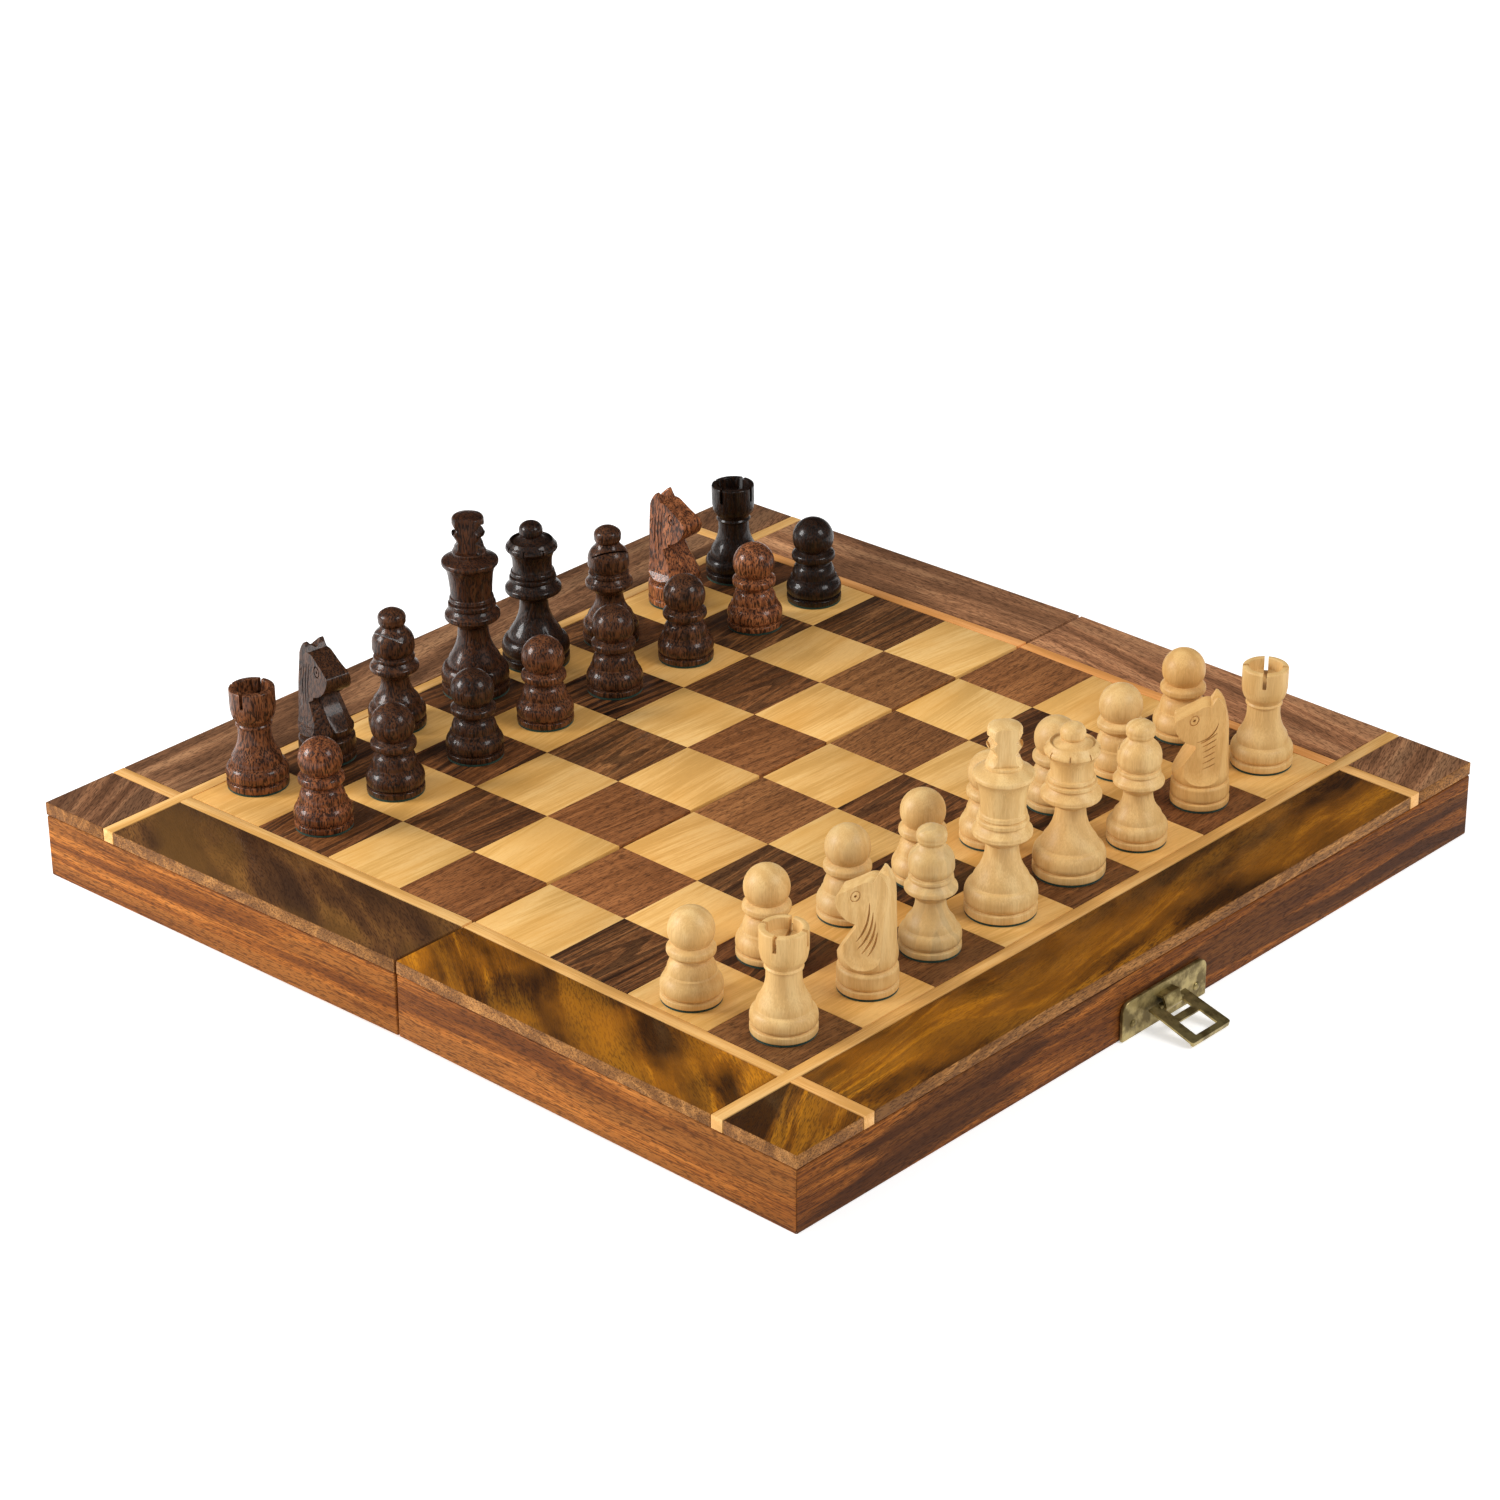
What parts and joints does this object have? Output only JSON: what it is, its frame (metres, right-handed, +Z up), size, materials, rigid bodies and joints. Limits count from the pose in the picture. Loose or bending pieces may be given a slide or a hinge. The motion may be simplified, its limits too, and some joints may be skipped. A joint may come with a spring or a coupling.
{
  "type": "folding chess set",
  "caption": "Folding wooden chess board with inlaid squares, brass hinges and latch, set up with carved and turned chessmen.",
  "frame": {"origin": "on the table, under the middle of the whole object with its latch", "axes": "+X along the seam between the halves, from the a-file to the h-file; +Y from the pale men's side, which has the latch, to the dark men's side; +Z up"},
  "size_m": [0.3, 0.3235, 0.0841],
  "materials": {
    "boxwood": "pale cream boxwood, turned, sanded and thinly waxed",
    "dark_stained_wood": "dark brown stained rosewood under a satin varnish",
    "rail_wood": "reddish brown rosewood, oiled",
    "plank_wood": "figured brown rosewood under varnish",
    "light_square_wood": "golden yellow veneer under satin varnish",
    "dark_square_wood": "dark streaked rosewood veneer under satin varnish",
    "inlay_wood": "pale golden strip under satin varnish",
    "brass": "antique brass, slightly tarnished",
    "green_felt": "dark green felt"
  },
  "bodies": {
    "near_half": {"near_outer_rail": "rail_wood", "near_left_rail": "rail_wood", "near_right_rail": "rail_wood", "near_seam_rail": "rail_wood", "near_field": "light_square_wood", "near_inlay": "inlay_wood", "near_front_plank": "plank_wood", "near_left_plank": "plank_wood", "near_right_plank": "plank_wood", "left_hinge_near_leaf": "brass", "right_hinge_near_leaf": "brass", "left_hinge_pin": "brass", "right_hinge_pin": "brass", "latch_plate": "brass"},
    "far_half": {"far_outer_rail": "rail_wood", "far_left_rail": "rail_wood", "far_right_rail": "rail_wood", "far_seam_rail": "rail_wood", "far_field": "light_square_wood", "far_inlay": "inlay_wood", "far_back_plank": "plank_wood", "far_left_plank": "plank_wood", "far_right_plank": "plank_wood", "left_hinge_far_leaf": "brass", "right_hinge_far_leaf": "brass", "catch_plate": "brass"},
    "hasp": {"latch_hasp": "brass"},
    "white_rook_a": {"white_rook_a": "boxwood"},
    "white_knight_b": {"white_knight_b": "boxwood"},
    "white_bishop_c": {"white_bishop_c": "boxwood"},
    "white_king": {"white_king": "boxwood"},
    "white_queen": {"white_queen": "boxwood"},
    "white_bishop_f": {"white_bishop_f": "boxwood"},
    "white_knight_g": {"white_knight_g": "boxwood"},
    "white_rook_h": {"white_rook_h": "boxwood"},
    "white_pawn_a": {"white_pawn_a": "boxwood"},
    "white_pawn_b": {"white_pawn_b": "boxwood"},
    "white_pawn_c": {"white_pawn_c": "boxwood"},
    "white_pawn_d": {"white_pawn_d": "boxwood"},
    "white_pawn_e": {"white_pawn_e": "boxwood"},
    "white_pawn_f": {"white_pawn_f": "boxwood"},
    "white_pawn_g": {"white_pawn_g": "boxwood"},
    "white_pawn_h": {"white_pawn_h": "boxwood"},
    "black_rook_a": {"black_rook_a": "dark_stained_wood"},
    "black_knight_b": {"black_knight_b": "dark_stained_wood"},
    "black_bishop_c": {"black_bishop_c": "dark_stained_wood"},
    "black_king": {"black_king": "dark_stained_wood"},
    "black_queen": {"black_queen": "dark_stained_wood"},
    "black_bishop_f": {"black_bishop_f": "dark_stained_wood"},
    "black_knight_g": {"black_knight_g": "dark_stained_wood"},
    "black_rook_h": {"black_rook_h": "dark_stained_wood"},
    "black_pawn_a": {"black_pawn_a": "dark_stained_wood"},
    "black_pawn_b": {"black_pawn_b": "dark_stained_wood"},
    "black_pawn_c": {"black_pawn_c": "dark_stained_wood"},
    "black_pawn_d": {"black_pawn_d": "dark_stained_wood"},
    "black_pawn_e": {"black_pawn_e": "dark_stained_wood"},
    "black_pawn_f": {"black_pawn_f": "dark_stained_wood"},
    "black_pawn_g": {"black_pawn_g": "dark_stained_wood"},
    "black_pawn_h": {"black_pawn_h": "dark_stained_wood"}
  },
  "joints": [
    {"name": "board_fold", "type": "hinge", "parent": "near_half", "child": "far_half", "pos_m": [0, 0.00654, 0.002], "axis": [-1, 0, 0], "range_deg": [-1.5, 178.4]},
    {"name": "hasp_swing", "type": "hinge", "parent": "near_half", "child": "hasp", "pos_m": [0.002, -0.14693, 0.00615], "axis": [-1, 0, 0], "range_deg": [-68, 105]},
    {"name": "lift_white_rook_a", "type": "slide", "parent": "near_half", "child": "white_rook_a", "axis": [0, 0, 1], "range_m": [0, 0.07]},
    {"name": "lift_white_knight_b", "type": "slide", "parent": "near_half", "child": "white_knight_b", "axis": [0, 0, 1], "range_m": [0, 0.07]},
    {"name": "lift_white_bishop_c", "type": "slide", "parent": "near_half", "child": "white_bishop_c", "axis": [0, 0, 1], "range_m": [0, 0.07]},
    {"name": "lift_white_king", "type": "slide", "parent": "near_half", "child": "white_king", "axis": [0, 0, 1], "range_m": [0, 0.07]},
    {"name": "lift_white_queen", "type": "slide", "parent": "near_half", "child": "white_queen", "axis": [0, 0, 1], "range_m": [0, 0.07]},
    {"name": "lift_white_bishop_f", "type": "slide", "parent": "near_half", "child": "white_bishop_f", "axis": [0, 0, 1], "range_m": [0, 0.07]},
    {"name": "lift_white_knight_g", "type": "slide", "parent": "near_half", "child": "white_knight_g", "axis": [0, 0, 1], "range_m": [0, 0.07]},
    {"name": "lift_white_rook_h", "type": "slide", "parent": "near_half", "child": "white_rook_h", "axis": [0, 0, 1], "range_m": [0, 0.07]},
    {"name": "lift_white_pawn_a", "type": "slide", "parent": "near_half", "child": "white_pawn_a", "axis": [0, 0, 1], "range_m": [0, 0.07]},
    {"name": "lift_white_pawn_b", "type": "slide", "parent": "near_half", "child": "white_pawn_b", "axis": [0, 0, 1], "range_m": [0, 0.07]},
    {"name": "lift_white_pawn_c", "type": "slide", "parent": "near_half", "child": "white_pawn_c", "axis": [0, 0, 1], "range_m": [0, 0.07]},
    {"name": "lift_white_pawn_d", "type": "slide", "parent": "near_half", "child": "white_pawn_d", "axis": [0, 0, 1], "range_m": [0, 0.07]},
    {"name": "lift_white_pawn_e", "type": "slide", "parent": "near_half", "child": "white_pawn_e", "axis": [0, 0, 1], "range_m": [0, 0.07]},
    {"name": "lift_white_pawn_f", "type": "slide", "parent": "near_half", "child": "white_pawn_f", "axis": [0, 0, 1], "range_m": [0, 0.07]},
    {"name": "lift_white_pawn_g", "type": "slide", "parent": "near_half", "child": "white_pawn_g", "axis": [0, 0, 1], "range_m": [0, 0.07]},
    {"name": "lift_white_pawn_h", "type": "slide", "parent": "near_half", "child": "white_pawn_h", "axis": [0, 0, 1], "range_m": [0, 0.07]},
    {"name": "lift_black_rook_a", "type": "slide", "parent": "far_half", "child": "black_rook_a", "axis": [0, 0, 1], "range_m": [0, 0.07]},
    {"name": "lift_black_knight_b", "type": "slide", "parent": "far_half", "child": "black_knight_b", "axis": [0, 0, 1], "range_m": [0, 0.07]},
    {"name": "lift_black_bishop_c", "type": "slide", "parent": "far_half", "child": "black_bishop_c", "axis": [0, 0, 1], "range_m": [0, 0.07]},
    {"name": "lift_black_king", "type": "slide", "parent": "far_half", "child": "black_king", "axis": [0, 0, 1], "range_m": [0, 0.07]},
    {"name": "lift_black_queen", "type": "slide", "parent": "far_half", "child": "black_queen", "axis": [0, 0, 1], "range_m": [0, 0.07]},
    {"name": "lift_black_bishop_f", "type": "slide", "parent": "far_half", "child": "black_bishop_f", "axis": [0, 0, 1], "range_m": [0, 0.07]},
    {"name": "lift_black_knight_g", "type": "slide", "parent": "far_half", "child": "black_knight_g", "axis": [0, 0, 1], "range_m": [0, 0.07]},
    {"name": "lift_black_rook_h", "type": "slide", "parent": "far_half", "child": "black_rook_h", "axis": [0, 0, 1], "range_m": [0, 0.07]},
    {"name": "lift_black_pawn_a", "type": "slide", "parent": "far_half", "child": "black_pawn_a", "axis": [0, 0, 1], "range_m": [0, 0.07]},
    {"name": "lift_black_pawn_b", "type": "slide", "parent": "far_half", "child": "black_pawn_b", "axis": [0, 0, 1], "range_m": [0, 0.07]},
    {"name": "lift_black_pawn_c", "type": "slide", "parent": "far_half", "child": "black_pawn_c", "axis": [0, 0, 1], "range_m": [0, 0.07]},
    {"name": "lift_black_pawn_d", "type": "slide", "parent": "far_half", "child": "black_pawn_d", "axis": [0, 0, 1], "range_m": [0, 0.07]},
    {"name": "lift_black_pawn_e", "type": "slide", "parent": "far_half", "child": "black_pawn_e", "axis": [0, 0, 1], "range_m": [0, 0.07]},
    {"name": "lift_black_pawn_f", "type": "slide", "parent": "far_half", "child": "black_pawn_f", "axis": [0, 0, 1], "range_m": [0, 0.07]},
    {"name": "lift_black_pawn_g", "type": "slide", "parent": "far_half", "child": "black_pawn_g", "axis": [0, 0, 1], "range_m": [0, 0.07]},
    {"name": "lift_black_pawn_h", "type": "slide", "parent": "far_half", "child": "black_pawn_h", "axis": [0, 0, 1], "range_m": [0, 0.07]}
  ]
}
